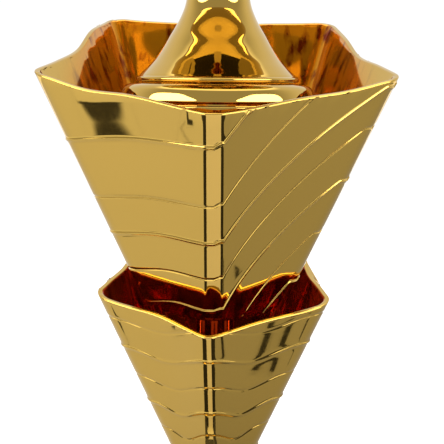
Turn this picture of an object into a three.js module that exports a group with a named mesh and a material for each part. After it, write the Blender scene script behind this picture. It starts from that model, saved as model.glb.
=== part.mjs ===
// A gold cup trophy: a trumpet-footed bowl on a cushion disc, carried by two flared
// five-sided calyxes that are threaded, one above the other, on a tie rod over a stone plinth.
// Millimetres, +Z up. The origin is the centre of the footprint, at floor level.
import * as THREE from 'three';

// Driving dimensions
const GAP = 0.3; // clearance between pieces that touch
const ROUND_SEGMENTS = 40;
const SMALL_SEGMENTS = 24;
const BOWL_SEGMENTS = 32;
const ROD_RADIUS = 3;
const BORE_RADIUS = ROD_RADIUS + GAP;

const PAD = { radius: 7, height: 2, reach: 36 };
const PLINTH = { width: 96, height: 44, chamfer: 2.5, recessRadius: 13, recessDepth: 12 };
const NAME_PLATE = { width: 58, height: 18, thickness: 1 };
const NUT = { acrossCorners: 11, height: 5 };
const WASHER = { radius: 9, height: 1.5 };

const BASE_RING_HEIGHT = 6;
const BASE_RING_RADIUS = 40;
const LOWER_CALYX_FLOOR = 84;
const UPPER_CALYX_FLOOR = 153;
const CUSHION = { underside: 231, height: 11.2, radius: 38.6 };
const FOOT = { height: 40.5, rimRadius: 32.3, rimHeight: 2.5, neckRadius: 11.8 };
const KNOP = { height: 10, radius: 16.5 };
const BOWL = { height: 130, radius: 78, wall: 2, beadRadius: 2 };

const SIDES = 5;
const SECTOR = (2 * Math.PI) / SIDES;
const HALF_SECTOR = SECTOR / 2;
const CORNER_STEPS = 4;
const FACE_STEPS = 4;
const CALYX_WALL = 2.6;
const CALYX_PLATE = 3;
const RIM_SLANT = 0.285; // rise of both calyx rims per millimetre towards the back
const FRONT = -Math.PI / 2;

// The radius is the one over a rounded corner, at the height named beside it.
const LOWER_CALYX = {
  floor: LOWER_CALYX_FLOOR, rim: 162.8, radius: 49.2, radiusHeight: 159, flare: 0.465,
  fillet: 3.4, turn: THREE.MathUtils.degToRad(-3),
};
const UPPER_CALYX = {
  floor: UPPER_CALYX_FLOOR, rim: 251.6, radius: 72.6, radiusHeight: 245, flare: 0.475,
  fillet: 6.3, turn: THREE.MathUtils.degToRad(-0.8),
};

// Heights that follow from the stack
const plinthFloor = PAD.height + GAP;
const plinthTop = plinthFloor + PLINTH.height;
const recessCeiling = plinthFloor + PLINTH.recessDepth;
const baseRingFloor = plinthTop + GAP;
const baseFootFloor = baseRingFloor + BASE_RING_HEIGHT + GAP;
const trumpetFloor = CUSHION.underside + CUSHION.height + GAP;
const knopFloor = trumpetFloor + FOOT.height + GAP;
const bowlFloor = knopFloor + KNOP.height + GAP;
const bowlInnerFloor = bowlFloor + 6;

// Materials
const gold = { color: 0xe2b04c, roughness: 0.08, metalness: 1 };
const steel = { color: 0xb9bcc0, roughness: 0.3, metalness: 1 };
const stone = { color: 0x17171a, roughness: 0.2, metalness: 0 };
const rubber = { color: 0x1c1c1c, roughness: 0.9, metalness: 0 };

const group = new THREE.Group();

function addPiece(name, geometry, finish, x = 0, y = 0, z = 0) {
  const mesh = new THREE.Mesh(geometry, new THREE.MeshStandardMaterial(finish));
  mesh.name = name;
  mesh.position.set(x, y, z);
  group.add(mesh);
}

// A turned solid about +Z. The outline runs anticlockwise in (radius, height) and closes on itself.
function turned(outline, segments = ROUND_SEGMENTS) {
  const points = [...outline, outline[0]].map(([radius, height]) => new THREE.Vector2(radius, height));
  return new THREE.LatheGeometry(points, segments).rotateX(Math.PI / 2);
}

// The points of a smooth curve through a few [radius, height] knots.
function smooth(knots, steps) {
  const curve = new THREE.SplineCurve(knots.map(([radius, height]) => new THREE.Vector2(radius, height)));
  return curve.getPoints(steps).map((point) => [point.x, point.y]);
}

// The points of an arc in the (radius, height) plane.
function arc(radius, height, size, start, end, steps) {
  return Array.from({ length: steps + 1 }, (_, step) => {
    const angle = start + ((end - start) * step) / steps;
    return [radius + size * Math.cos(angle), height + size * Math.sin(angle)];
  });
}

// A closed solid from loops of equal length: each loop is joined to the next, the last to the first.
function loopSolid(loops) {
  const count = loops[0].length;
  const positions = loops.flat().flatMap((point) => [point.x, point.y, point.z]);
  const indices = [];
  for (let row = 0; row < loops.length; row += 1) {
    const nextRow = (row + 1) % loops.length;
    for (let column = 0; column < count; column += 1) {
      const nextColumn = (column + 1) % count;
      const [a, b] = [row * count + column, row * count + nextColumn];
      const [c, d] = [nextRow * count + column, nextRow * count + nextColumn];
      indices.push(a, b, d, a, d, c);
    }
  }
  const geometry = new THREE.BufferGeometry();
  geometry.setAttribute('position', new THREE.Float32BufferAttribute(positions, 3));
  geometry.setIndex(indices);
  geometry.computeVertexNormals();
  return geometry;
}

function circleLoop(angles, radius, z) {
  return angles.map((angle) => new THREE.Vector3(radius * Math.cos(angle), radius * Math.sin(angle), z));
}

function squareLoop(angles, halfWidth, z) {
  return angles.map((angle) => {
    const [x, y] = [Math.cos(angle), Math.sin(angle)];
    const reach = halfWidth / Math.max(Math.abs(x), Math.abs(y));
    return new THREE.Vector3(reach * x, reach * y, z);
  });
}

// The straight lines that make up a calyx wall, in order around it: height => point.
function calyxColumns(calyx, inset, fillet) {
  const cornerStretch = 1 / Math.cos(HALF_SECTOR);
  const cornerLine = (corner, step) => (z) => {
    const cornerAngle = FRONT + calyx.turn + corner * SECTOR;
    const arcAngle = cornerAngle + (step / CORNER_STEPS - 0.5) * SECTOR;
    const overCorner = calyx.radius + calyx.flare * (z - calyx.radiusHeight);
    const sharp = overCorner + calyx.fillet * (cornerStretch - 1) - inset * cornerStretch;
    const centre = sharp - fillet * cornerStretch;
    return new THREE.Vector3(
      centre * Math.cos(cornerAngle) + fillet * Math.cos(arcAngle),
      centre * Math.sin(cornerAngle) + fillet * Math.sin(arcAngle),
      z,
    );
  };
  const columns = [];
  for (let corner = 0; corner < SIDES; corner += 1) {
    for (let step = 0; step <= CORNER_STEPS; step += 1) columns.push(cornerLine(corner, step));
    const start = cornerLine(corner, CORNER_STEPS);
    const end = cornerLine(corner + 1, 0);
    for (let step = 1; step < FACE_STEPS; step += 1) {
      columns.push((z) => start(z).lerp(end(z), step / FACE_STEPS));
    }
  }
  return columns;
}

// Where a wall line meets the slanted rim plane.
function rimPoint(calyx, column) {
  const start = column(0);
  const risePerHeight = column(1).y - start.y;
  return column((calyx.rim + RIM_SLANT * start.y) / (1 - RIM_SLANT * risePerHeight));
}

function calyxShell(calyx) {
  const outer = calyxColumns(calyx, 0, calyx.fillet);
  const inner = calyxColumns(calyx, CALYX_WALL, Math.max(calyx.fillet - CALYX_WALL, 1));
  const plateTop = calyx.floor + CALYX_PLATE;
  const firstAngle = FRONT + calyx.turn - SECTOR / 4;
  const angles = outer.map((_, column) => firstAngle + (column * 2 * Math.PI) / outer.length);
  return loopSolid([
    circleLoop(angles, BORE_RADIUS, calyx.floor),
    outer.map((column) => column(calyx.floor)),
    outer.map((column) => rimPoint(calyx, column)),
    inner.map((column) => rimPoint(calyx, column)),
    inner.map((column) => column(plateTop)),
    circleLoop(angles, BORE_RADIUS, plateTop),
  ]);
}

function plinthBlock() {
  const count = ROUND_SEGMENTS;
  const angles = Array.from({ length: count }, (_, step) => (step * 2 * Math.PI) / count);
  const half = PLINTH.width / 2;
  return loopSolid([
    circleLoop(angles, PLINTH.recessRadius, plinthFloor),
    squareLoop(angles, half, plinthFloor),
    squareLoop(angles, half, plinthTop - PLINTH.chamfer),
    squareLoop(angles, half - PLINTH.chamfer, plinthTop),
    circleLoop(angles, BORE_RADIUS, plinthTop),
    circleLoop(angles, BORE_RADIUS, recessCeiling),
    circleLoop(angles, PLINTH.recessRadius, recessCeiling),
  ]);
}

function hexNut() {
  const hexagon = new THREE.Shape();
  for (let corner = 0; corner < 6; corner += 1) {
    const angle = (corner * Math.PI) / 3;
    const [x, y] = [Math.cos(angle), Math.sin(angle)].map((value) => (NUT.acrossCorners / 2) * value);
    if (corner === 0) hexagon.moveTo(x, y);
    else hexagon.lineTo(x, y);
  }
  hexagon.closePath();
  const bore = new THREE.Path();
  bore.absarc(0, 0, BORE_RADIUS, 0, 2 * Math.PI, true);
  hexagon.holes.push(bore);
  return new THREE.ExtrudeGeometry(hexagon, { depth: NUT.height, bevelEnabled: false, curveSegments: 12 });
}

// A bored disc, sleeve or washer that stands on height 0.
function sleeve(radius, height, segments = SMALL_SEGMENTS) {
  return turned([[BORE_RADIUS, 0], [radius, 0], [radius, height], [BORE_RADIUS, height]], segments);
}

// Four pads under the plinth
for (const [side, x] of [['left', -1], ['right', 1]]) {
  for (const [end, y] of [['front', -1], ['back', 1]]) {
    const disc = new THREE.CylinderGeometry(PAD.radius, PAD.radius, PAD.height, SMALL_SEGMENTS);
    disc.rotateX(Math.PI / 2);
    addPiece(`pad_${end}_${side}`, disc, rubber, x * PAD.reach, y * PAD.reach, PAD.height / 2);
  }
}

// Plinth and its blank plate
addPiece('plinth_block', plinthBlock(), stone);
const plateSize = [NAME_PLATE.width, NAME_PLATE.thickness, NAME_PLATE.height];
const plateY = -(PLINTH.width / 2 + GAP + NAME_PLATE.thickness / 2);
addPiece('name_plate', new THREE.BoxGeometry(...plateSize), gold, 0, plateY, plinthFloor + PLINTH.height / 2);

// Tie rod, and the washer and nut at each end of it
const lowerWasherFloor = recessCeiling - GAP - WASHER.height;
const lowerNutFloor = lowerWasherFloor - GAP - NUT.height;
const upperWasherFloor = bowlInnerFloor + GAP;
const upperNutFloor = upperWasherFloor + WASHER.height + GAP;
const rodEnds = [lowerNutFloor - 2, upperNutFloor + NUT.height + 2.5];
const rodLength = rodEnds[1] - rodEnds[0];
const rod = new THREE.CylinderGeometry(ROD_RADIUS, ROD_RADIUS, rodLength, SMALL_SEGMENTS);
addPiece('tie_rod', rod.rotateX(Math.PI / 2), steel, 0, 0, rodEnds[0] + rodLength / 2);
addPiece('plinth_washer', sleeve(WASHER.radius, WASHER.height), steel, 0, 0, lowerWasherFloor);
addPiece('plinth_nut', hexNut(), steel, 0, 0, lowerNutFloor);
addPiece('bowl_washer', sleeve(WASHER.radius, WASHER.height), steel, 0, 0, upperWasherFloor);
addPiece('bowl_nut', hexNut(), steel, 0, 0, upperNutFloor);

// Stepped ring and flared foot between plinth and lower calyx
addPiece('base_ring', turned([
  [BORE_RADIUS, 0],
  [BASE_RING_RADIUS, 0],
  [BASE_RING_RADIUS, 2],
  ...arc(BASE_RING_RADIUS - 3.5, 2.5, 3.5, 0, Math.PI / 2, 4),
  [BORE_RADIUS, BASE_RING_HEIGHT],
]), gold, 0, 0, baseRingFloor);

const baseFootHeight = LOWER_CALYX_FLOOR - GAP - baseFootFloor;
addPiece('base_foot', turned([
  [BORE_RADIUS, 0],
  [33, 0],
  ...smooth([[33, 2.4], [24, 7], [16.5, 15], [12.5, 24], [12, baseFootHeight]], 9),
  [BORE_RADIUS, baseFootHeight],
]), gold, 0, 0, baseFootFloor);

// The two calyxes, and the sleeve and seat disc that stand in each of them
const seatHeight = 2.7;
function addCalyx(prefix, calyx, sleeveRadius, seatRadius, next) {
  addPiece(`${prefix}_calyx`, calyxShell(calyx), gold);
  const sleeveFloor = calyx.floor + CALYX_PLATE + GAP;
  const seatFloor = next - GAP - seatHeight;
  const sleeveHeight = seatFloor - GAP - sleeveFloor;
  addPiece(`${prefix}_sleeve`, sleeve(sleeveRadius, sleeveHeight), gold, 0, 0, sleeveFloor);
  addPiece(`${prefix}_seat`, sleeve(seatRadius, seatHeight, ROUND_SEGMENTS), gold, 0, 0, seatFloor);
}
addCalyx('lower', LOWER_CALYX, 8, 19, UPPER_CALYX_FLOOR);
addCalyx('upper', UPPER_CALYX, 9, 28, CUSHION.underside);

// Cushion disc under the cup
const cushionShoulder = 4.2;
addPiece('cushion_disc', turned([
  [BORE_RADIUS, 0],
  [CUSHION.radius - 2, 0],
  ...smooth([[CUSHION.radius - 1, 1.5], [CUSHION.radius, 5], [CUSHION.radius - 0.6, 8.4]], 4),
  ...arc(
    CUSHION.radius - 5.2, CUSHION.height - cushionShoulder, cushionShoulder, Math.PI / 4, Math.PI / 2, 3,
  ),
  [BORE_RADIUS, CUSHION.height],
]), gold, 0, 0, CUSHION.underside);

// Trumpet foot of the cup
addPiece('trumpet_foot', turned([
  [BORE_RADIUS, 0],
  ...arc(FOOT.rimRadius - 1, FOOT.rimHeight / 2, FOOT.rimHeight / 2, -Math.PI / 2, Math.PI / 2, 4),
  ...smooth(
    [[28, 5.9], [24.7, 9.1], [18.6, 18], [14.2, 26.2], [12.2, 34], [FOOT.neckRadius, FOOT.height]], 11,
  ),
  [BORE_RADIUS, FOOT.height],
]), gold, 0, 0, trumpetFloor);

// Knop between foot and bowl
addPiece('neck_knop', turned([
  [BORE_RADIUS, 0],
  [FOOT.neckRadius, 0],
  ...arc(KNOP.radius - 4, KNOP.height / 2, 4, -Math.PI / 2, Math.PI / 2, 8),
  [FOOT.neckRadius, KNOP.height],
  [BORE_RADIUS, KNOP.height],
]), gold, 0, 0, knopFloor);

// Bowl with a rolled rim
const bowlLip = BOWL.height - BOWL.beadRadius;
const bowlOuter = [
  [13, 0], [34, 4], [54, 14], [67, 33], [74, 62], [BOWL.radius - BOWL.wall, bowlLip],
];
const bowlInner = [
  [BOWL.radius - 2 * BOWL.wall, bowlLip], [72, 63], [65.2, 34.4], [52.9, 16], [33.4, 6.8], [14, 6],
];
addPiece('bowl', turned([
  [BORE_RADIUS, 0],
  ...smooth(bowlOuter, 8),
  ...arc(BOWL.radius - BOWL.beadRadius, bowlLip, BOWL.beadRadius, -Math.PI / 4, Math.PI, 5),
  ...smooth(bowlInner, 8).slice(1),
  [BORE_RADIUS, bowlInnerFloor - bowlFloor],
], BOWL_SEGMENTS), gold, 0, 0, bowlFloor);

export default group;
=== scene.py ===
# %% [markdown]
# # A gold cup trophy
#
# The trophy is a stack of hollow, mirror-bright pieces threaded on one steel rod: a bowl on a
# trumpet foot, a cushion-shaped disc, and two flared five-sided calyxes over a stone plinth.
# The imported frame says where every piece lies. Here each piece gets its fine surface and finish.

import math

import bmesh
import bpy
from mathutils import Matrix, Vector


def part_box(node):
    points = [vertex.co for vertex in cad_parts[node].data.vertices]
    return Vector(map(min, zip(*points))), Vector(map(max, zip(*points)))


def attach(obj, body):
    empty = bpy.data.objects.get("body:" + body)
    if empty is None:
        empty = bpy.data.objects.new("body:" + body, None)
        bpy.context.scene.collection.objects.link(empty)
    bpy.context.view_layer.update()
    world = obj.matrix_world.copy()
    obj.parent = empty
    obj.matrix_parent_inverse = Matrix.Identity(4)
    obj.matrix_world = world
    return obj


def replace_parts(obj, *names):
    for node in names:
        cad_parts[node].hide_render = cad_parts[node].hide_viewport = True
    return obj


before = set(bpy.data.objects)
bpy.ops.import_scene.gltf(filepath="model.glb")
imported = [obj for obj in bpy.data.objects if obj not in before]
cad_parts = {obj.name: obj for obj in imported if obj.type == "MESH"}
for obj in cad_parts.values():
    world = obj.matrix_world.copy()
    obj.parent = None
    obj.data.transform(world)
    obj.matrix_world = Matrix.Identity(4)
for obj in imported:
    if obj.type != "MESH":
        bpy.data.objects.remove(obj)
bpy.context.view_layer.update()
MM = 0.001
print("frame holds", len(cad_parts), "nodes")

# %% [markdown]
# ## Helpers for colours and nodes
#
# Colours are easiest to choose as sRGB hex values, but shader sockets take linear light, so one
# function turns one into the other. A second one adds a node with its settings and its links.


# %% Colour and node helpers
def linear(hex_code):
    channels = [int(hex_code[i : i + 2], 16) / 255 for i in (0, 2, 4)]
    return (*[c / 12.92 if c <= 0.04045 else ((c + 0.055) / 1.055) ** 2.4 for c in channels], 1.0)


def add_node(tree, kind, settings=None, inputs=None):
    node = tree.nodes.new(kind)
    for name, value in (settings or {}).items():
        setattr(node, name, value)
    for name, value in (inputs or {}).items():
        if isinstance(value, bpy.types.NodeSocket):
            tree.links.new(value, node.inputs[name])
        else:
            node.inputs[name].default_value = value
    return node


def new_material(name):
    material = bpy.data.materials.new(name)
    material.use_nodes = True
    material.node_tree.nodes.clear()
    return material, material.node_tree


def finish_material(tree, shader):
    add_node(tree, "ShaderNodeOutputMaterial", inputs={"Surface": shader.outputs[0]})


GOLD_BASE = "CEA953"
print("gold base colour, linear:", [round(c, 3) for c in linear(GOLD_BASE)[:3]])

# %% [markdown]
# ## Gold metallised plastic
#
# Cups like this are moulded in ABS, coated with a mirror of vacuum-deposited metal and lacquered
# gold. Light that bounces once is yellow gold, and each further bounce in a hollow multiplies the
# colour again, which gives the amber and deep red inside. So the colour has to sit in a true
# metal, nearly smooth. Moulded walls are never quite flat: a long, shallow bump bends reflections.
# Inside the calyxes the many bounces are painted too: an amber colour in the upper one and a red
# one in the lower one, with darker streaks, is painted reflection.


# %% Gold finishes
def gold_finish(name, base, roughness, swell_mm, swell_height):
    """A smooth metal under faint dust, with long, shallow swells as wide and high as given."""
    material, tree = new_material(name)
    place = add_node(tree, "ShaderNodeTexCoord")
    swell = add_node(
        tree,
        "ShaderNodeTexNoise",
        inputs={"Vector": place.outputs["Object"], "Scale": 1 / (swell_mm * MM), "Detail": 1.0},
    )
    dust = add_node(
        tree,
        "ShaderNodeTexNoise",
        inputs={"Vector": place.outputs["Object"], "Scale": 1 / (1.5 * MM), "Detail": 3.0},
    )
    sheen = add_node(
        tree,
        "ShaderNodeMapRange",
        inputs={
            "Value": dust.outputs["Fac"],
            "From Min": 0.35,
            "From Max": 0.75,
            "To Min": roughness,
            "To Max": roughness * 1.8,
        },
    )
    bump = add_node(
        tree,
        "ShaderNodeBump",
        inputs={"Strength": 1.0, "Distance": swell_height * MM, "Height": swell.outputs["Fac"]},
    )
    shader = add_node(
        tree,
        "ShaderNodeBsdfPrincipled",
        inputs={
            "Base Color": linear(base),
            "Metallic": 1.0,
            "Roughness": sheen.outputs["Result"],
            "Normal": bump.outputs["Normal"],
        },
    )
    finish_material(tree, shader)
    return material


def painted_bounce_lining(name, bounce_tone, streak_tone, metallic, clear):
    """Gold under a painted reflection colour with darker painted streaks; plain gold far from the
    axis.
    """
    material, tree = new_material(name)
    place = add_node(tree, "ShaderNodeTexCoord")
    drawn = add_node(tree, "ShaderNodeVectorMath", {"operation": "MULTIPLY"},
                     {0: place.outputs["Object"], 1: (1, 1, 0.1)})
    streak_noise = add_node(
        tree, "ShaderNodeTexNoise",
        inputs={"Vector": drawn.outputs["Vector"], "Scale": 1 / (5 * MM), "Detail": 3.0},
    )
    stripe = add_node(tree, "ShaderNodeMapRange",
                      inputs={"Value": streak_noise.outputs["Fac"], "From Min": 0.52, "From Max": 0.66})
    # Painted reflection: the bounce tone mixed with darker painted streaks.
    bounce_colour = add_node(
        tree, "ShaderNodeMix", {"data_type": "RGBA"},
        {"Factor": stripe.outputs["Result"], "A": linear(bounce_tone), "B": linear(streak_tone)},
    )
    parts = add_node(tree, "ShaderNodeSeparateXYZ", inputs={"Vector": place.outputs["Object"]})
    aside = add_node(tree, "ShaderNodeMath", {"operation": "ABSOLUTE"}, {0: parts.outputs["X"]})
    unpainted_share = add_node(
        tree, "ShaderNodeMapRange", {"interpolation_type": "SMOOTHSTEP"},
        {"Value": aside.outputs["Value"], "From Min": clear[0], "From Max": clear[1]},
    )
    colour = add_node(
        tree, "ShaderNodeMix", {"data_type": "RGBA"},
        {"Factor": unpainted_share.outputs["Result"], "A": bounce_colour.outputs["Result"], "B": linear(GOLD_BASE)},
    )
    metal = add_node(
        tree, "ShaderNodeMapRange",
        inputs={"Value": unpainted_share.outputs["Result"], "To Min": metallic, "To Max": 1.0},
    )
    shader = add_node(
        tree, "ShaderNodeBsdfPrincipled",
        inputs={"Base Color": colour.outputs["Result"], "Metallic": metal.outputs["Result"],
                "Roughness": 0.06},
    )
    finish_material(tree, shader)
    return material


calyx_gold = gold_finish("gold_metallised_abs", GOLD_BASE, 0.03, 18, 0.03)
# Painted reflection of many bounces inside the calyxes: amber in the upper one, red in the lower
# one.
amber_gold = painted_bounce_lining(
    "gold_with_painted_amber_bounces", "D88C12", "7E2A04", 0.72, (0.05, 0.064)
)
ruby_gold = painted_bounce_lining("gold_with_painted_red_bounces", "B03A0C", "6A1404", 0.8, (0.2, 0.3))
cup_gold = gold_finish("gold_plated_spun_metal", GOLD_BASE, 0.03, 30, 0.02)
plate_gold = gold_finish("gold_anodised_plate", GOLD_BASE, 0.22, 8, 0.01)
golds = (calyx_gold, amber_gold, ruby_gold, cup_gold, plate_gold)
print("gold finishes:", [material.name for material in golds])

# %% [markdown]
# ## Steel, stone and rubber
#
# The plinth is polished black marble with a few pale veins. The rod, nuts and washers are
# zinc-plated steel, and the pads are black rubber.


# %% Other finishes
def marble_finish():
    material, tree = new_material("polished_black_marble")
    place = add_node(tree, "ShaderNodeTexCoord")
    drift = add_node(
        tree,
        "ShaderNodeTexNoise",
        inputs={"Vector": place.outputs["Object"], "Scale": 1 / (40 * MM), "Detail": 5.0},
    )
    bent = add_node(
        tree,
        "ShaderNodeVectorMath",
        {"operation": "MULTIPLY_ADD"},
        {0: drift.outputs["Color"], 1: (0.09, 0.09, 0.09), 2: place.outputs["Object"]},
    )
    veins = add_node(
        tree,
        "ShaderNodeTexVoronoi",
        {"feature": "DISTANCE_TO_EDGE"},
        {"Vector": bent.outputs["Vector"], "Scale": 1 / (38 * MM)},
    )
    line = add_node(
        tree,
        "ShaderNodeMapRange",
        inputs={"Value": veins.outputs["Distance"], "From Min": 0.0, "From Max": 0.02,
                "To Min": 1.0, "To Max": 0.0},
    )
    cloud = add_node(
        tree,
        "ShaderNodeMapRange",
        inputs={"Value": drift.outputs["Fac"], "From Min": 0.42, "From Max": 0.7},
    )
    faded = add_node(
        tree,
        "ShaderNodeMath",
        {"operation": "MULTIPLY"},
        {0: line.outputs["Result"], 1: cloud.outputs["Result"]},
    )
    colour = add_node(
        tree,
        "ShaderNodeMix",
        {"data_type": "RGBA"},
        {"Factor": faded.outputs["Value"], "A": linear("151517"), "B": linear("8C8A86")},
    )
    shader = add_node(
        tree,
        "ShaderNodeBsdfPrincipled",
        inputs={"Base Color": colour.outputs["Result"], "Roughness": 0.12, "IOR": 1.5},
    )
    finish_material(tree, shader)
    return material


def grained_finish(name, base, roughness, metallic, grain_mm, grain_height):
    material, tree = new_material(name)
    place = add_node(tree, "ShaderNodeTexCoord")
    grain = add_node(
        tree,
        "ShaderNodeTexNoise",
        inputs={"Vector": place.outputs["Object"], "Scale": 1 / (grain_mm * MM), "Detail": 4.0},
    )
    bump = add_node(
        tree,
        "ShaderNodeBump",
        inputs={"Strength": 0.6, "Distance": grain_height * MM, "Height": grain.outputs["Fac"]},
    )
    shader = add_node(
        tree,
        "ShaderNodeBsdfPrincipled",
        inputs={"Base Color": linear(base), "Roughness": roughness, "Metallic": metallic,
                "Normal": bump.outputs["Normal"]},
    )
    finish_material(tree, shader)
    return material


marble = marble_finish()
zinc_steel = grained_finish("zinc_plated_steel", "B9BCC0", 0.3, 1.0, 0.8, 0.02)
pad_rubber = grained_finish("moulded_rubber", "1A1A1A", 0.75, 0.0, 0.6, 0.05)
print("other finishes:", [material.name for material in (marble, zinc_steel, pad_rubber)])

# %% [markdown]
# ## Making a piece from a bmesh
#
# Every piece ends the same way: doubles and stray edges removed, normals out, smooth shading that
# breaks at sharp edges, a mesh object at the origin, its finish (a calyx has a second one for its
# inner wall, whose colour is painted reflection) and the frame's calls that say what it stands for.
# The count of open edges should be 0.


# %% Piece helper
MERGE_DISTANCE = 0.00001


def make_piece(name, shape, material, sharp=35, lining=None):
    bmesh.ops.remove_doubles(shape, verts=shape.verts, dist=MERGE_DISTANCE)
    stray = [edge for edge in shape.edges if edge.is_wire]
    bmesh.ops.delete(shape, geom=stray, context="EDGES")
    bmesh.ops.recalc_face_normals(shape, faces=shape.faces)
    for face in shape.faces:
        face.smooth = True
    for edge in shape.edges:
        edge.smooth = len(edge.link_faces) != 2 or edge.calc_face_angle() < math.radians(sharp)
    mesh = bpy.data.meshes.new(name)
    shape.to_mesh(mesh)
    open_edges = sum(len(edge.link_faces) != 2 for edge in shape.edges)
    print(name, len(mesh.polygons), "faces,", open_edges, "open edges")
    shape.free()
    for finish in (material, lining) if lining else (material,):
        mesh.materials.append(finish)
    piece = bpy.data.objects.new(name, mesh)
    bpy.context.scene.collection.objects.link(piece)
    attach(piece, "root")
    return piece


print("vertices closer than", MERGE_DISTANCE / MM, "mm are merged")

# %% [markdown]
# ## The flared calyx
#
# Each calyx is a thin five-sided funnel. Its corners are narrow flats with small roundings, its
# rim is cut on a slant, low in front and high behind, and fine lines flow round its walls: raised
# ridges and shallow creases by turns. The wall starts as a flat grid of quads that is wrapped
# round: its columns are the straight lines up the walls, and its rows follow the flow lines, so
# that each ridge lies on rows of its own and stays crisp however steeply it climbs.

# %% The plan of a calyx
SIDES = 5
SECTOR = math.tau / SIDES
HALF_CORNER = math.radians(54)
FRONT = -math.pi / 2
FACE_STEPS = 26
FLAT_STEPS = 4
ROUND_STEPS = 4
LEAST_ROUNDING = 0.5
CORNER_REACH = 0.02
print("each calyx has", SIDES * (FACE_STEPS + FLAT_STEPS + 2 * ROUND_STEPS), "columns")


def direction(angle):
    return Vector((math.cos(angle), math.sin(angle), 0))


def calyx_columns(calyx, inset):
    """The wall lines in order: (place round it, point at the floor, climb, outward normal)."""
    lines = []
    for corner in range(SIDES):
        flat = calyx["flat"][corner] - 2 * inset * math.tan(SECTOR / 4)
        small = max(calyx["rounding"][corner] - inset, LEAST_ROUNDING)
        middle = FRONT + calyx["turn"] + corner * SECTOR
        out, side = direction(middle), direction(middle + math.pi / 2)
        cut_back = flat / 2 / math.tan(HALF_CORNER)
        reach = calyx["sharp_at_floor"] - inset / math.cos(SECTOR / 2) - cut_back
        for end in (-1, 1):
            bisector = direction(middle + end * SECTOR / 4)
            vertex = out * reach + side * end * flat / 2
            centre = vertex - bisector * small / math.cos(SECTOR / 4)
            for step in range(ROUND_STEPS + 1):
                share = step / ROUND_STEPS if end == 1 else 1 - step / ROUND_STEPS
                angle = middle + end * share * SECTOR / 2
                normal = direction(angle)
                place, foot = corner + end * CORNER_REACH, centre + normal * small
                lines.append((place, foot, out * calyx["flare"], normal))
    return lines


# %% [markdown]
# Between the lines of the corners lie the straight flats and faces. They are divided evenly, so
# that the grid has columns enough for lines that bend over a face.

# %% Fill the flats and faces between the wall lines
def filled_columns(calyx, inset):
    lines = calyx_columns(calyx, inset)
    per_corner = 2 * (ROUND_STEPS + 1)
    lines.append((lines[0][0] + SIDES, *lines[0][1:]))
    columns = []
    for index in range(len(lines) - 1):
        here, there = lines[index], lines[index + 1]
        place = index % per_corner
        steps = {ROUND_STEPS: FLAT_STEPS, per_corner - 1: FACE_STEPS}.get(place, 1)
        for step in range(steps):
            share = step / steps
            columns.append(tuple(a + (b - a) * share for a, b in zip(here, there)))
    columns.append(lines[-1])
    return columns


# %% [markdown]
# The flow lines of a calyx are given at its front corner. Round the calyx they climb by a number
# of line spacings, so a line that starts low in front reaches the rim on its way round. Where they
# sweep up the right-hand face, their heights at the far corner are given too.


# %% Flow lines
def through(values, position):
    """A smooth value between the members of a list, by a Catmull-Rom curve."""
    position = min(max(position, 0.0), len(values) - 1.001)
    start = int(position)
    t = position - start
    a, b, c, d = [values[min(max(start + k, 0), len(values) - 1)] for k in (-1, 0, 1, 2)]
    bend = (3 * b - a - 3 * c + d) * t**3 + (2 * a - 5 * b + 4 * c - d) * t**2 + (c - a) * t
    return b + bend / 2


def around(values, place):
    """A value from a list that runs evenly round the calyx, from the front corner back to it."""
    return through(values, (place % SIDES) * (len(values) - 1) / SIDES)


def flow_height(calyx, line, place):
    climbed = around(calyx["climb"], place)
    if place < 0:
        climbed -= calyx["climb"][-1]
    height = through(calyx["lines"], line - climbed + calyx["first"])
    if "right" in calyx and 0 < place < 2:
        front, right = [through(calyx[key], line + calyx["first"]) for key in ("lines", "right")]
        if place < 1:
            height = front + (right - front) * place
        else:
            height = right + (height - right) * (place - 1)
    return height + around(calyx["sag"], place)


# %% [markdown]
# A ridge is only a millimetre or two wide and half a millimetre high. So the rows lie close
# together over each line, where they draw a small bell curve, and far apart between the lines.

# %% Rows of the wall: dense over each line, sparse between lines
LINE_ROWS = [-1.5, -1.0, -0.7, -0.45, -0.2, 0.0, 0.2, 0.45, 0.7, 1.0, 1.5]
RIDGE_WIDTH, CREASE_WIDTH = 0.62, 0.4


def wall_rows(calyx):
    """(flow line, millimetres below it) for each row; a line with a fraction lies between two."""
    rows = []
    last = len(calyx["lines"]) - calyx["first"] + max(calyx["climb"])
    line = -calyx["first"]
    while line < last:
        rows += [(line, drop) for drop in LINE_ROWS]
        rows += [(line + share, 0.0) for share in (0.25, 0.5, 0.75)]
        line += 1
    return rows


def ridge_height(calyx, line, drop):
    if line != int(line):
        return 0.0
    if int(line) % 2:
        return calyx["ridge"] * math.exp(-((drop / RIDGE_WIDTH) ** 2))
    return -calyx["crease"] * math.exp(-((drop / CREASE_WIDTH) ** 2))


print("rows over each line:", len(LINE_ROWS))


# %% [markdown]
# The rim lies near a slanted plane: it waves gently over each face and has small raised ears at
# the corners. A row that would pass the rim or the floor stops there, and merging doubles removes
# what that leaves without height. The inner wall is a second grid, set in by the wall's thickness.


# %% Wrap a grid into the wall
EAR_WIDTH = 0.09
WALL_MERGE = 0.03 * MM
FLOOR_MARGIN = 0.1


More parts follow.
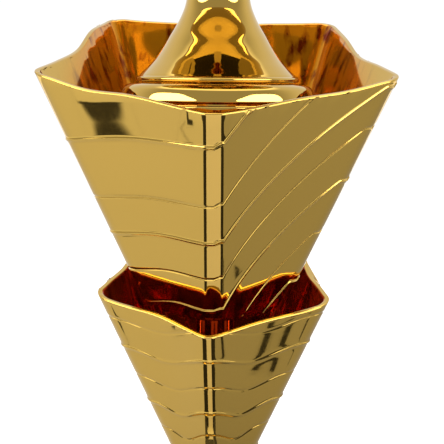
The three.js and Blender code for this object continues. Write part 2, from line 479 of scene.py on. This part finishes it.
def calyx_wall(shape, calyx, inset, floor):
    """Adds one wall to the bmesh and returns its rim edges and its floor edges."""
    columns, rows = filled_columns(calyx, inset), wall_rows(calyx)
    across, down = len(columns) - 1, len(rows) - 1
    grid = bmesh.ops.create_grid(shape, x_segments=across, y_segments=down, size=0.5)
    verts = grid["verts"]
    for vertex in verts:
        place, foot, climb, normal = columns[round((vertex.co.x + 0.5) * across)]
        line, drop = rows[round((0.5 - vertex.co.y) * down)]
        to_corner = abs(place - round(place))
        ear = calyx["ear"] * math.exp(-((to_corner / EAR_WIDTH) ** 2))
        start = foot - climb * calyx["floor"]
        level = calyx["rim"] + around(calyx["wave"], place) + ear + calyx["slant"] * start.y
        rim = level / (1 - calyx["slant"] * climb.y)
        height = flow_height(calyx, line, place) - drop
        height = min(max(height, floor), rim)
        up = (height - calyx["floor"]) / (rim - calyx["floor"])
        bow = calyx["bow"] * (up * math.sin(math.pi * to_corner)) ** 2
        raised = 0.0 if inset or not floor < height < rim else ridge_height(calyx, line, drop)
        raised *= 1 - calyx["calm"] * math.sin(math.pi * to_corner) ** 2
        spot = foot + climb * (height - calyx["floor"]) + normal * (raised - bow)
        vertex.co = Vector((spot.x, spot.y, height)) * MM
    for face in {face for vertex in verts for face in vertex.link_faces}:
        face.material_index = 1 if inset else 0
    bmesh.ops.remove_doubles(shape, verts=verts, dist=WALL_MERGE)
    edges = [e for e in shape.edges if e.is_boundary and not e.tag]
    low = [e for e in edges if max(v.co.z for v in e.verts) < (floor + FLOOR_MARGIN) * MM]
    high = [e for e in edges if e not in set(low)]
    for edge in edges:
        edge.tag = True
    return high, low


# %% [markdown]
# Both walls are drawn in to the rod's bore at the bottom. Bridges then close the bore and the rim,
# and a small bevel rounds the two edges of the rim, so that it catches the light as a bright line.

# %% Join the walls over the rim and across the floor
BORE = 3.3
FLOOR_THICKNESS = 3
RIM_SOFTNESS = 0.7


def calyx_piece(name, calyx, lining):
    shape = bmesh.new()
    inner_floor = calyx["floor"] + FLOOR_THICKNESS
    rims, bores = [], []
    for inset, floor in ((0, calyx["floor"]), (calyx["wall"], inner_floor)):
        high, low = calyx_wall(shape, calyx, inset, floor)
        grown = bmesh.ops.extrude_edge_only(shape, edges=low)["geom"]
        for vertex in [item for item in grown if isinstance(item, bmesh.types.BMVert)]:
            vertex.co.xy = vertex.co.xy.normalized() * BORE * MM
        rims += high
        grown_edges = [item for item in grown if isinstance(item, bmesh.types.BMEdge)]
        bores += [edge for edge in grown_edges if edge.is_boundary]
        for edge in shape.edges:
            edge.tag = edge.is_boundary
    bmesh.ops.bridge_loops(shape, edges=bores)
    lip = bmesh.ops.bridge_loops(shape, edges=rims)["faces"]
    bmesh.ops.recalc_face_normals(shape, faces=shape.faces)
    outline = {edge for face in lip for edge in face.edges if edge.is_manifold}
    corners = [edge for edge in outline if any(face not in lip for face in edge.link_faces)]
    bmesh.ops.bevel(
        shape, geom=corners, offset=RIM_SOFTNESS * MM, segments=3, profile=0.5, affect="EDGES",
        material=-1,
    )
    piece = make_piece(name, shape, calyx_gold, sharp=50, lining=lining)
    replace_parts(piece, name)


def calyx_plan(node, **sizes):
    return {"floor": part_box(node)[0].z / MM, "slant": 0.285, "wall": 2.4, **sizes}


# %% [markdown]
# In front, the upper calyx has a crisp corner between a left-hand face with level lines and a
# right-hand face whose lines sweep up steeply. The lower one is smaller, and its lines sag between
# the corners. All sizes are in millimetres.

# %% The two calyxes
UPPER = calyx_plan(
    "upper_calyx", sharp_at_floor=30.4, flare=0.475, turn=math.radians(-0.8), rim=250.6,
    flat=[6.2] * SIDES, rounding=[2.0, 8.5, 8.5, 8.5, 8.5],
    ear=0.3, calm=0.2, bow=1.6, ridge=0.5, crease=0.3, first=4,
    lines=[360, 330, 302, 273, 246.5, 220.2, 198.4, 184, 169.5, 156, 133, 112, 92],
    right=[420, 390, 360, 340, 318, 295, 270, 242.5, 227.5, 206.5, 186.4, 166, 146],
    climb=[0, 3.25, 3.5, 3.75, 4, 4],
    sag=[0, -0.5, 0, 0.5, 0, 0.5, 0, 0.5, 0, 1.3, 0],
    wave=[0.2, 0.1, 0.2, -0.3, 0.7, -0.3, -2.2, -0.8, -0.8, -1.1, -2, -1.3, -0.4, 1.3, -1.2, -0.4,
          0.7, -1.0, 0.5, 0.5, 0.2],
)
calyx_piece("upper_calyx", UPPER, amber_gold)

LOWER = calyx_plan(
    "lower_calyx", sharp_at_floor=15.5, flare=0.465, turn=math.radians(-3), rim=162.0,
    flat=[3.2, 6.4, 6.4, 6.4, 6.4], rounding=[2.4, 9, 9, 9, 9],
    ear=0.3, calm=0.5, bow=1.2, ridge=0.45, crease=0.3, first=4,
    lines=[207, 193, 179, 165, 151.5, 139.2, 127.2, 116, 105, 94, 83, 72],
    climb=[0, 0.15, 0.1, 0, -0.1, 0],
    sag=[0, -4, 0, -3.5, 0, -3.5, 0, -3.5, 0, -3.5, 0],
    wave=[0, 0.3, 0.5, 0.2, 0, -0.3, -1, -0.4, 0, -0.5, -1, -0.5, 0, -0.4, -1, -0.3, 0, 0.8, 1.6,
          0.8, 0],
)
calyx_piece("lower_calyx", LOWER, ruby_gold)

# %% [markdown]
# ## Turned pieces
#
# Feet, discs, bowl, washers and rod are round, so each is an outline of radius and height that is
# spun about the axis. Curved stretches are smooth curves through a few knots, or arcs.


# %% Outline helpers
def curve(knots, steps):
    radii, heights = [[knot[axis] for knot in knots] for axis in (0, 1)]
    places = [(len(knots) - 1) * step / steps for step in range(steps + 1)]
    return [(through(radii, place), through(heights, place)) for place in places[:-1]] + [knots[-1]]


def arc(radius, height, size, start, end, steps=8):
    angles = [math.radians(start + (end - start) * step / steps) for step in range(steps + 1)]
    return [(radius + size * math.cos(angle), height + size * math.sin(angle)) for angle in angles]


def turned_piece(name, outline, material, steps=144):
    """Spin a closed outline, in millimetres above the foot of the CAD node, about the axis."""
    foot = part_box(name)[0].z
    shape = bmesh.new()
    points = [shape.verts.new((radius * MM, 0, foot + height * MM)) for radius, height in outline]
    edges = [shape.edges.new(pair) for pair in zip(points, points[1:] + points[:1])]
    bmesh.ops.spin(
        shape, geom=points + edges, cent=(0, 0, 0), axis=(0, 0, 1), angle=math.tau, steps=steps,
        use_merge=True,
    )
    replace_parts(make_piece(name, shape, material), name)


print("the rod's bore is", 2 * BORE, "mm wide")

# %% [markdown]
# The trumpet foot is spun from sheet: a long concave flare that ends in a small rolled bead. The
# cushion disc below it has a rounded shoulder, a bulging wall and a groove over its lower flange.

# %% Trumpet foot and cushion disc
turned_piece(
    "trumpet_foot",
    [
        (BORE, 0),
        *arc(31.2, 1.1, 1.1, -90, 90),
        (31.0, 2.4),
        *curve([(30.6, 2.9), (27.6, 5.9), (24.6, 9.2), (21.6, 13.5), (18.9, 18), (16.2, 22.5),
                (14.3, 26.4), (13.0, 30), (12.2, 34.5), (11.8, 40.5)], 60),
        (BORE, 40.5),
    ],
    cup_gold,
)
turned_piece(
    "cushion_disc",
    [
        (BORE, 0),
        (37.4, 0),
        *arc(37.4, 0.7, 0.7, -90, 0),
        *arc(37.4, 2.3, 0.7, 0, 90),
        (36.7, 3.1),
        (36.7, 3.6),
        *curve([(38.3, 3.8), (38.7, 4.4), (38.6, 5.4), (38.2, 7.0), (37.8, 8.2), (37.2, 9.3),
                (36.0, 10.3), (34.4, 10.9), (32.6, 11.2)], 36),
        (BORE, 11.2),
    ],
    calyx_gold,
)

# %% [markdown]
# A bead joins the foot to the bowl. The bowl is a deep round cup with a rolled rim, open at the
# top, and its wall is one outline: up the outside, over the rim and down the inside.

# %% Knop and bowl
turned_piece(
    "neck_knop",
    [
        (BORE, 0), (11.8, 0), (11.8, 0.7),
        *arc(12.4, 5, 4.1, -80, 80, 20),
        (11.8, 9.3), (11.8, 10), (BORE, 10),
    ],
    cup_gold,
)
bowl_low, bowl_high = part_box("bowl")
lip = (bowl_high.z - bowl_low.z) / MM - 2
turned_piece(
    "bowl",
    [
        (BORE, 0),
        *curve([(13, 0), (34, 4), (54, 14), (67, 33), (74, 62), (75.6, 96), (76, lip - 1.6)], 70),
        *arc(76, lip, 1.9, -50, 180, 16),
        *curve([(74, lip - 1.5), (73.6, 96), (72, 63), (65.2, 34.4), (52.9, 16), (33.4, 6.8),
                (14, 6)], 70),
        (BORE, 6),
    ],
    cup_gold,
)

# %% [markdown]
# Under the lower calyx a small flared foot stands on a stepped ring, and both sit on the plinth.

# %% Base foot and base ring
foot_height = (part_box("base_foot")[1].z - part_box("base_foot")[0].z) / MM
turned_piece(
    "base_foot",
    [
        (BORE, 0),
        *arc(31.9, 1.1, 1.1, -90, 90),
        *curve([(31.2, 2.6), (24, 7), (16.5, 15), (12.9, 23), (12.0, 27), (12, foot_height)], 40),
        (BORE, foot_height),
    ],
    calyx_gold,
)
turned_piece(
    "base_ring",
    [
        (BORE, 0), (39.6, 0),
        *arc(39.4, 0.6, 0.6, -90, 0), *arc(39.4, 1.6, 0.6, 0, 90),
        (38.6, 2.3), *arc(36.2, 3.6, 2.4, -30, 90), (BORE, 6),
    ],
    calyx_gold,
)

# %% [markdown]
# ## Inside the stack
#
# Gold sleeves keep the stack apart and gold seat discs centre it. The rod has rolled M6 threads.
# They are drawn as fine rings a millimetre apart, the pitch of such a thread, because a ring
# can be spun like everything else here and looks the same as a helix this fine.

# %% Sleeves, seats, washers and rod
def bored_disc(name, material, soft):
    low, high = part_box(name)
    radius, height = high.x / MM, (high.z - low.z) / MM
    turned_piece(
        name,
        [
            (BORE, soft), (BORE + soft, 0), *arc(radius - soft, soft, soft, -90, 0, 4),
            *arc(radius - soft, height - soft, soft, 0, 90, 4), (BORE + soft, height),
            (BORE, height - soft),
        ],
        material, steps=72,
    )


for place in ("lower", "upper"):
    bored_disc(f"{place}_sleeve", calyx_gold, 0.4)
    bored_disc(f"{place}_seat", calyx_gold, 0.6)
for place in ("plinth", "bowl"):
    bored_disc(f"{place}_washer", zinc_steel, 0.2)

rod_low, rod_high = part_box("tie_rod")
rod_length = (rod_high.z - rod_low.z) / MM
ROOT, CREST, END = 2.62, 2.98, 2.5
half_turns = range(int(2 * rod_length) - 1)
threads = [(ROOT if step % 2 else CREST, 0.5 + step / 2) for step in half_turns]
turned_piece("tie_rod", [(0, 0), (END, 0), *threads, (END, rod_length), (0, rod_length)],
             zinc_steel, steps=24)

# %% [markdown]
# A nut is a ring between two circles. The outer circle is pulled out to a hexagon, the ring is
# extruded to its height, and the sharp edges are bevelled.


# %% Hexagon nuts
SIXTH, TWELFTH = math.radians(60), math.radians(30)


def hexagon_nut(name):
    low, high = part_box(name)
    shape = bmesh.new()
    loops = [
        bmesh.ops.create_circle(shape, cap_ends=False, segments=count, radius=radius,
                                matrix=Matrix.Translation((0, 0, low.z)))["verts"]
        for count, radius in ((24, high.x), (24, BORE * MM))
    ]
    for vertex in loops[0]:
        angle = math.atan2(vertex.co.y, vertex.co.x) % SIXTH - TWELFTH
        reach = high.x * math.cos(TWELFTH) / math.cos(angle)
        vertex.co.xy = vertex.co.xy.normalized() * reach
    ring = bmesh.ops.bridge_loops(shape, edges=shape.edges[:])
    bmesh.ops.recalc_face_normals(shape, faces=shape.faces)
    grown = bmesh.ops.extrude_face_region(shape, geom=ring["faces"])
    lifted = [item for item in grown["geom"] if isinstance(item, bmesh.types.BMVert)]
    bmesh.ops.translate(shape, verts=lifted, vec=(0, 0, high.z - low.z))
    corners = [e for e in shape.edges if e.is_manifold and e.calc_face_angle() > math.radians(50)]
    bmesh.ops.bevel(shape, geom=corners, offset=0.3 * MM, segments=2, profile=0.5, affect="EDGES",
                    material=-1)
    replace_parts(make_piece(name, shape, zinc_steel), name)


hexagon_nut("plinth_nut")
hexagon_nut("bowl_nut")

# %% [markdown]
# ## Plinth, plate and pads
#
# The plinth is a sawn and polished block with softened edges, a bore for the rod and a round
# recess for the nut underneath. Like the calyxes it starts as a grid that is wrapped round. Its
# rows run from the bore over the top, down the side, under the block and up into the recess.

# %% Plinth block
ARC_TURNS = [math.radians(15 * step) for step in range(7)]
SIDE_SHARES = (0.01, 0.2, 0.35, 0.5, 0.65, 0.8, 0.99)
EDGE_SOFTNESS, EDGE_MARGIN = 2.5 * MM, 0.5 * MM
RECESS_RADIUS, RECESS_DEPTH = 13 * MM, 12 * MM


def square_outline(reach, softness):
    """Points round a square whose rounded corners keep their centres at any softness."""
    corners = []
    for corner in range(4):
        centre = direction(math.radians(45 + 90 * corner)) * reach * math.sqrt(2)
        start = math.radians(90 * corner)
        corners.append([centre + direction(start + turn) * softness for turn in ARC_TURNS])
    points = []
    for corner, following in zip(corners, corners[1:] + corners[:1]):
        points += corner
        points += [corner[-1].lerp(following[0], share) for share in SIDE_SHARES]
    return points + points[:1]


def circle(radius, reach):
    """The same number of points, in the same directions, on a circle."""
    return [point.normalized() * radius for point in square_outline(reach, EDGE_SOFTNESS)]


def plinth_rows(low, high):
    """(outline, height) for each row of the grid."""
    reach, soft = high.x - EDGE_SOFTNESS, EDGE_SOFTNESS
    upper = [(soft * math.cos(a), high.z - soft + soft * math.sin(a)) for a in ARC_TURNS[::-1]]
    lower = [(soft * math.cos(a), low.z + soft - soft * math.sin(a)) for a in ARC_TURNS]
    sides = [(soft, upper[-1][1] - EDGE_MARGIN), (soft, lower[0][1] + EDGE_MARGIN)]
    edges = [(square_outline(reach, size), height) for size, height in upper + sides + lower]
    face = square_outline(reach - EDGE_MARGIN, 0)
    bore, recess = circle(BORE * MM, reach), circle(RECESS_RADIUS, reach)
    ceiling = low.z + RECESS_DEPTH
    return [
        (bore, high.z), (face, high.z), *edges, (face, low.z), (recess, low.z),
        (recess, ceiling), (bore, ceiling), (bore, high.z),
    ]


def plinth_block():
    rows = plinth_rows(*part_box("plinth_block"))
    shape = bmesh.new()
    across, down = len(rows[0][0]) - 1, len(rows) - 1
    grid = bmesh.ops.create_grid(shape, x_segments=across, y_segments=down, size=0.5)
    for vertex in grid["verts"]:
        outline, height = rows[round((0.5 - vertex.co.y) * down)]
        spot = outline[round((vertex.co.x + 0.5) * across)]
        vertex.co = Vector((spot.x, spot.y, height))
    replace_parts(make_piece("plinth_block", shape, marble), "plinth_block")


plinth_block()


# %% [markdown]
# The plate on the plinth's front is blank, and four rubber pads keep the stone off the shelf.
# Both are plain solids with bevelled edges.


# %% Name plate and pads
def softened_box(name, soft, material):
    low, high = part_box(name)
    shape = bmesh.new()
    place = Matrix.Translation((low + high) / 2) @ Matrix.Diagonal((*(high - low), 1))
    bmesh.ops.create_cube(shape, size=1, matrix=place)
    bmesh.ops.bevel(shape, geom=shape.edges[:], offset=soft * MM, segments=3, profile=0.5,
                    affect="EDGES", material=-1)
    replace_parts(make_piece(name, shape, material), name)


softened_box("name_plate", 0.35, plate_gold)


def pad(name):
    low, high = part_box(name)
    radius, middle = (high.x - low.x) / 2, (low + high) / 2
    shape = bmesh.new()
    bmesh.ops.create_cone(shape, cap_ends=True, segments=48, radius1=radius, radius2=radius,
                          depth=high.z - low.z, matrix=Matrix.Translation(middle))
    edges = [e for e in shape.edges if e.calc_face_angle() > math.radians(60)]
    bmesh.ops.bevel(shape, geom=edges, offset=0.4 * MM, segments=3, profile=0.5, affect="EDGES",
                    material=-1)
    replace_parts(make_piece(name, shape, pad_rubber), name)


for end in ("front", "back"):
    for side in ("left", "right"):
        pad(f"pad_{end}_{side}")

# %% [markdown]
# ## Studio
#
# Mirror gold shows its surroundings, so the studio is part of the look: a pale round floor, two
# large softboxes to the left and right of the front, and a backdrop that is brightest overhead,
# bright behind the object and dimmer on the viewer's side. The floor is matt white board.

# %% Floor
FLOOR_TONE, FLOOR_RADIUS, MATT = "F4F4F2", 1.3, 0.9


def plain_paper(name, tone):
    material, tree = new_material(name)
    shader = add_node(tree, "ShaderNodeBsdfPrincipled",
                      inputs={"Base Color": linear(tone), "Roughness": MATT})
    finish_material(tree, shader)
    return material


def stage_mesh(name, shape, material):
    """Turn a bmesh into an object of the studio, which is no piece of the trophy."""
    mesh = bpy.data.meshes.new(name)
    shape.to_mesh(mesh)
    shape.free()
    mesh.materials.append(material)
    item = bpy.data.objects.new(name, mesh)
    bpy.context.scene.collection.objects.link(item)
    return item


floor_shape = bmesh.new()
bmesh.ops.create_circle(floor_shape, cap_ends=True, segments=96, radius=FLOOR_RADIUS)
stage_mesh("floor", floor_shape, plain_paper("matt_white_floor", FLOOR_TONE))
print("floor radius", FLOOR_RADIUS, "m")

# %% [markdown]
# Each softbox is an oval area light that faces the middle of the trophy. Its energy is set from
# the brightness that its cloth should have, so the reflections stay the same at any size.


# %% Lights
AIM_HEIGHT = 0.24


def softbox(name, azimuth, distance, height, width, tall, radiance):
    light = bpy.data.lights.new(name, "AREA")
    light.shape, light.size, light.size_y = "ELLIPSE", width, tall
    light.energy = radiance * math.pi * (math.pi / 4 * width * tall)
    lamp = bpy.data.objects.new(name, light)
    lamp.location = direction(math.radians(azimuth)) * distance + Vector((0, 0, height))
    towards = Vector((0, 0, AIM_HEIGHT)) - lamp.location
    lamp.rotation_euler = towards.to_track_quat("-Z", "Y").to_euler()
    bpy.context.scene.collection.objects.link(lamp)
    print(name, round(light.energy, 1), "W")


softbox("softbox_left", -145, 0.95, 0.56, 1.15, 0.36, 7)
softbox("softbox_right", -38, 0.95, 0.56, 1.1, 0.36, 6.3)


# %% [markdown]
# Dark and grey cards lie on the floor beside the trophy, hidden from the camera and from diffuse
# rays, so that they show only in reflections. The grey ones are painted shade of the floor, deeper
# on the right, and make the right-hand faces darker than the left ones. The black ones are painted
# dark reflections: they give the thin dark lines along the corners. Four small ones lie a little
# higher and put painted dark reflections into single faces. Two of them fade towards their edge
# into the grey of the card they lie on.


# %% Cards
# Tones of the painted shade and painted dark reflections on the cards.
DARK, BLACK, LEFT_GREY, RIGHT_GREY, FRONT_GREY = "060606", "020202", "B0B0B0", "868686", "BEBECA"
LOW, HIGH = 0.002, 0.004


def faded_paper(name, tone, edge, fade, centre, turn, size):
    """Paper whose tone fades into the edge tone towards the rim of an ellipse."""
    material, tree = new_material(name)
    place = add_node(tree, "ShaderNodeTexCoord")
    local = add_node(
        tree, "ShaderNodeMapping", {"vector_type": "TEXTURE"},
        {"Vector": place.outputs["Object"], "Location": centre, "Rotation": (0, 0, turn),
         "Scale": size},
    )
    distance = add_node(tree, "ShaderNodeVectorMath", {"operation": "LENGTH"},
                        {0: local.outputs["Vector"]})
    mask = add_node(
        tree, "ShaderNodeMapRange", {"interpolation_type": "SMOOTHSTEP"},
        {"Value": distance.outputs["Value"], "From Min": 1 - fade, "From Max": 1.0},
    )
    colour = add_node(
        tree, "ShaderNodeMix", {"data_type": "RGBA"},
        {"Factor": mask.outputs["Result"], "A": linear(tone), "B": linear(edge)},
    )
    shader = add_node(tree, "ShaderNodeBsdfPrincipled",
                      inputs={"Base Color": colour.outputs["Result"], "Roughness": MATT})
    finish_material(tree, shader)
    return material


def card(name, tone, start, end, near, far, lift=LOW, skew=0.0, fade=0.0):
    """A flat card on the floor, from one azimuth to another and from a near to a far radius."""
    middle, half = math.radians((start + end) / 2), math.radians((end - start) / 2)
    if fade:
        centre = direction(middle) * (near + far) / 2
        size = ((far - near) / 2, (near + far) / 2 * math.tan(half), 1)
        paper = faded_paper(f"{name}_paper", tone, LEFT_GREY, fade, centre, middle, size)
    else:
        paper = plain_paper(f"{name}_paper", tone)
    shape = bmesh.new()
    bmesh.ops.create_grid(shape, x_segments=16, y_segments=1, size=0.5)
    for vertex in shape.verts:
        angle = middle + half * 2 * vertex.co.x + math.radians(skew if vertex.co.y < 0 else 0)
        radius = far if vertex.co.y > 0 else near
        vertex.co = direction(angle) * radius + Vector((0, 0, lift))
    sheet = stage_mesh(name, shape, paper)
    sheet.visible_camera = False
    sheet.visible_diffuse = False
    print(name, "from", start, "to", end, "degrees")


# Painted shade and painted dark reflections, seen only in the gold: the grey cards are painted
# floor shade, the black and small ones painted dark reflections.
card("dark_card_left", BLACK, -158, -100, 0.07, 0.55)
card("dark_card_right", BLACK, -80, -26, 0.07, 0.55)
card("front_card", FRONT_GREY, -100, -80, 0.07, 0.6)
card("grey_card_right", RIGHT_GREY, -26, 70, 0.06, 0.8)
card("grey_card_left", LEFT_GREY, 110, 202, 0.06, 0.8)
card("soft_shade", DARK, 190, 194.5, 0.39, 0.5, HIGH, skew=-2.5, fade=0.5)
card("small_shade", DARK, 176, 179.5, 0.2, 0.235, HIGH, fade=0.3)
card("bar_wide", BLACK, -21.2, -19.7, 0.15, 0.2, HIGH, skew=3.6)
card("bar_thin", BLACK, -13.4, -12.5, 0.16, 0.21, HIGH, skew=3.6)

# %% [markdown]
# The backdrop is a world whose brightness depends on the direction alone. It is almost white
# behind the object and half as bright behind the viewer, and a bright crown overhead stands in
# for a white ceiling. Seen directly it is plain white. Light bounces often between mirrors, so
# the number of bounces is raised as well.

# %% Backdrop
world = bpy.data.worlds.new("backdrop")
bpy.context.scene.world = world
world.use_nodes = True
sky = world.node_tree
sky.nodes.clear()
heading = add_node(sky, "ShaderNodeTexCoord")
parts = add_node(sky, "ShaderNodeSeparateXYZ", inputs={"Vector": heading.outputs["Generated"]})
depth = add_node(
    sky, "ShaderNodeMapRange", {"interpolation_type": "SMOOTHSTEP"},
    {"Value": parts.outputs["Y"], "From Min": -0.3, "From Max": 0.5, "To Min": 0.5, "To Max": 0.95},
)
crown = add_node(
    sky, "ShaderNodeMapRange", {"interpolation_type": "SMOOTHSTEP"},
    {"Value": parts.outputs["Z"], "From Min": 0.72, "From Max": 0.9, "To Min": 0.0, "To Max": 2.2},
)
lit = add_node(sky, "ShaderNodeMath", {"operation": "ADD"},
               {0: depth.outputs["Result"], 1: crown.outputs["Result"]})
seen = add_node(sky, "ShaderNodeLightPath")
SEEN_BRIGHTNESS = 1.05
strength = add_node(
    sky, "ShaderNodeMix", {"data_type": "FLOAT"},
    {"Factor": seen.outputs["Is Camera Ray"], "A": lit.outputs["Value"], "B": SEEN_BRIGHTNESS},
)
backdrop = add_node(sky, "ShaderNodeBackground",
                    inputs={"Color": (1, 1, 1, 1), "Strength": strength.outputs["Result"]})
add_node(sky, "ShaderNodeOutputWorld", inputs={"Surface": backdrop.outputs["Background"]})
bpy.context.scene.view_settings.view_transform = "Standard"
bpy.context.scene.cycles.max_bounces = 16
bpy.context.scene.cycles.glossy_bounces = 12
print("up to", bpy.context.scene.cycles.max_bounces, "bounces of light")

# %% [markdown]
# ## Camera
#
# The camera stands level with the foot of the trumpet, close to the trophy, and looks a little
# down, so that the two calyxes fill the picture. It is rolled by less than a degree.

# %% Camera
ASIDE, DISTANCE, RISE = 2.4 * MM, 0.44, 2.5 * MM
EYE = Vector((ASIDE, -DISTANCE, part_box("trumpet_foot")[0].z + RISE))
PITCH, ROLL = math.radians(7.56), math.radians(0.65)
ahead = Vector((0, math.cos(PITCH), -math.sin(PITCH)))
across = Vector((math.cos(ROLL), 0, 0)) + Vector((1, 0, 0)).cross(ahead) * math.sin(ROLL)
upward = across.cross(ahead)
camera_data = bpy.data.cameras.new("camera")
camera_data.sensor_width = 36
camera_data.lens = 89.2
camera = bpy.data.objects.new("camera", camera_data)
axes = Matrix((across, upward, -ahead)).transposed().to_4x4()
camera.matrix_world = Matrix.Translation(EYE) @ axes
bpy.context.scene.collection.objects.link(camera)
bpy.context.scene.camera = camera
print("camera at", [round(value, 4) for value in EYE])
